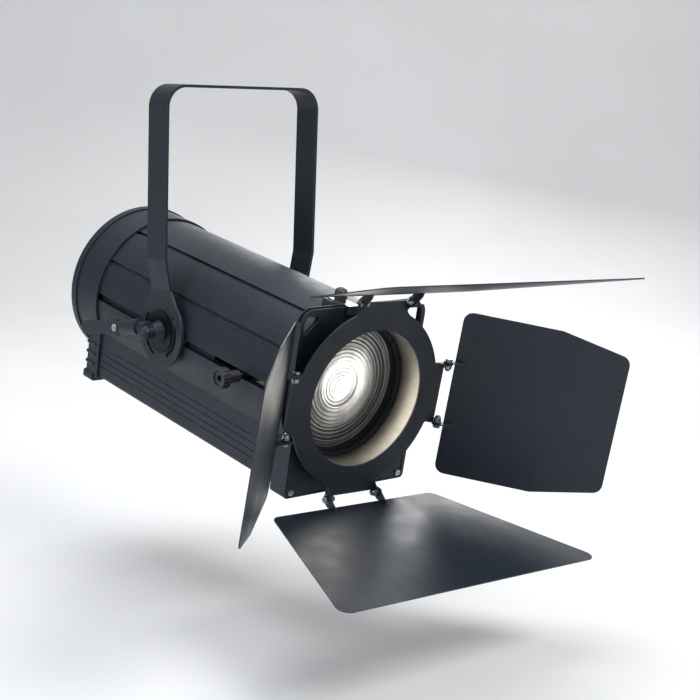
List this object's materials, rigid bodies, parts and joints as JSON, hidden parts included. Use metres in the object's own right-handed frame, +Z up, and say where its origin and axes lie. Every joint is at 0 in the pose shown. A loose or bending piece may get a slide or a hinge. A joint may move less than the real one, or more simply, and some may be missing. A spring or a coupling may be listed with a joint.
{
  "type": "fresnel spotlight",
  "caption": "Stage spotlight with a hanging yoke, a tilting ribbed body, sliding focus, fresnel lens and a turning barn door with hinged leaves.",
  "frame": {"origin": "centre of the hanger hole at the top face of the yoke's bar", "axes": "+Z up along the hanger hole, -Y the way the light shines, +X to the right of somebody who faces the lens"},
  "size_m": [0.4934, 0.666, 0.4734],
  "materials": {
    "coat_dark": "fine satin powder coat",
    "coat_leaf": "fine satin powder coat",
    "steel": "zinc plated",
    "black_steel": "blackened",
    "bare_aluminium": "machined",
    "fibre": "pressed fibre",
    "brass": "plain",
    "plastic": "moulded",
    "blue_plastic": "moulded",
    "circuit": "solder mask",
    "white_board": "matt",
    "emitter": "lit",
    "lens_glass": "polished",
    "window": "tinted",
    "bright_metal": "bright",
    "sheet": "zinc plated"
  },
  "bodies": {
    "yoke": {"yoke": "coat_dark"},
    "lever": {"lever_hub": "coat_dark", "lever_arm": "coat_dark", "lever_paddle": "coat_dark", "lever_screw": "steel"},
    "carriage": {"carriage": "bare_aluminium", "bushings": "brass", "led_board": "white_board", "led": "emitter", "collimator": "bright_metal", "heatsink": "bare_aluminium", "focus_shaft": "black_steel"},
    "knob": {"focus_knob": "plastic"},
    "barn_ring": {"ring": "coat_dark", "ring_retainer": "sheet"},
    "leaf_top": {"leaf_top": "coat_leaf", "bolts_top": "black_steel"},
    "leaf_bottom": {"leaf_bottom": "coat_leaf", "bolts_bottom": "black_steel"},
    "leaf_left": {"leaf_left": "coat_leaf", "bolts_left": "black_steel"},
    "leaf_right": {"leaf_right": "coat_leaf", "bolts_right": "black_steel"},
    "latch_knob": {"latch_knob": "plastic"},
    "fan": {"fan_rotor": "plastic"},
    "button_1": {"button_1": "plastic"},
    "button_2": {"button_2": "plastic"},
    "button_3": {"button_3": "plastic"},
    "button_4": {"button_4": "plastic"},
    "head": {"pivot_bosses": "bare_aluminium", "friction_discs": "fibre", "tilt_studs": "steel", "pivot_washers": "black_steel", "pivot_nuts": "black_steel", "shell": "coat_dark", "bezel": "coat_dark", "rear_cap": "coat_dark", "screws": "steel", "rear_panel": "coat_dark", "display_window": "window", "control_board": "circuit", "power_sockets": "blue_plastic", "data_sockets": "plastic", "fuse_holder": "plastic", "safety_eye": "steel", "fan_frame": "plastic", "fan_grille": "black_steel", "deck": "sheet", "bulkheads": "sheet", "guide_rods": "steel", "power_supply": "bare_aluminium", "driver_board": "circuit", "lens_cell": "coat_dark", "lens": "lens_glass", "lens_ring": "coat_dark", "front_tube": "bright_metal", "holder": "coat_dark", "accessory_frame": "coat_dark", "latch_base": "coat_dark", "latch_plate": "steel"}
  },
  "joints": [
    {"name": "head_tilt", "type": "hinge", "parent": "yoke", "child": "head", "pos_m": [0, 0, -0.2705], "axis": [1, 0, 0], "range_deg": [-55, 39.5]},
    {"name": "lever_turn", "type": "hinge", "parent": "head", "child": "lever", "pos_m": [-0.11, 0, -0.2705], "axis": [1, 0, 0], "range_deg": [-75, 75]},
    {"name": "focus_slide", "type": "slide", "parent": "head", "child": "carriage", "axis": [0, 0.986, 0.1668], "range_m": [-0.022, 0.055]},
    {"name": "focus_knob_turn", "type": "hinge", "parent": "carriage", "child": "knob", "pos_m": [-0.115, -0.14355, -0.29722], "axis": [1, 0, 0], "continuous": true},
    {"name": "ring_turn", "type": "hinge", "parent": "head", "child": "barn_ring", "pos_m": [0, -0.23622, -0.31603], "axis": [0, 0.986, 0.1668], "continuous": true},
    {"name": "leaf_top_hinge", "type": "hinge", "parent": "barn_ring", "child": "leaf_top", "pos_m": [0.00373, -0.25898, -0.21143], "axis": [0.9994, 0.0058, -0.0344], "range_deg": [-70, 50]},
    {"name": "leaf_bottom_hinge", "type": "hinge", "parent": "barn_ring", "child": "leaf_bottom", "pos_m": [-0.00373, -0.22331, -0.4223], "axis": [-0.9994, -0.0058, 0.0344], "range_deg": [-88, 31]},
    {"name": "leaf_left_hinge", "type": "hinge", "parent": "barn_ring", "child": "leaf_left", "pos_m": [-0.10694, -0.24177, -0.31318], "axis": [-0.0349, 0.1667, -0.9854], "range_deg": [-76, 43]},
    {"name": "leaf_right_hinge", "type": "hinge", "parent": "barn_ring", "child": "leaf_right", "pos_m": [0.10694, -0.24052, -0.32055], "axis": [0.0349, -0.1667, 0.9854], "range_deg": [-71, 49]},
    {"name": "latch_turn", "type": "hinge", "parent": "head", "child": "latch_knob", "pos_m": [-0.02, -0.21206, -0.21002], "axis": [0, -0.1668, 0.986], "continuous": true},
    {"name": "fan_spin", "type": "hinge", "parent": "head", "child": "fan", "pos_m": [0, 0.16755, -0.21174], "axis": [0, 0.986, 0.1668], "continuous": true},
    {"name": "button_1_press", "type": "slide", "parent": "head", "child": "button_1", "axis": [0, -0.986, -0.1668], "range_m": [0, 0.0008], "stiffness_N_per_m": 400, "springref_m": -0.0015},
    {"name": "button_2_press", "type": "slide", "parent": "head", "child": "button_2", "axis": [0, -0.986, -0.1668], "range_m": [0, 0.0008], "stiffness_N_per_m": 400, "springref_m": -0.0015},
    {"name": "button_3_press", "type": "slide", "parent": "head", "child": "button_3", "axis": [0, -0.986, -0.1668], "range_m": [0, 0.0008], "stiffness_N_per_m": 400, "springref_m": -0.0015},
    {"name": "button_4_press", "type": "slide", "parent": "head", "child": "button_4", "axis": [0, -0.986, -0.1668], "range_m": [0, 0.0008], "stiffness_N_per_m": 400, "springref_m": -0.0015}
  ]
}
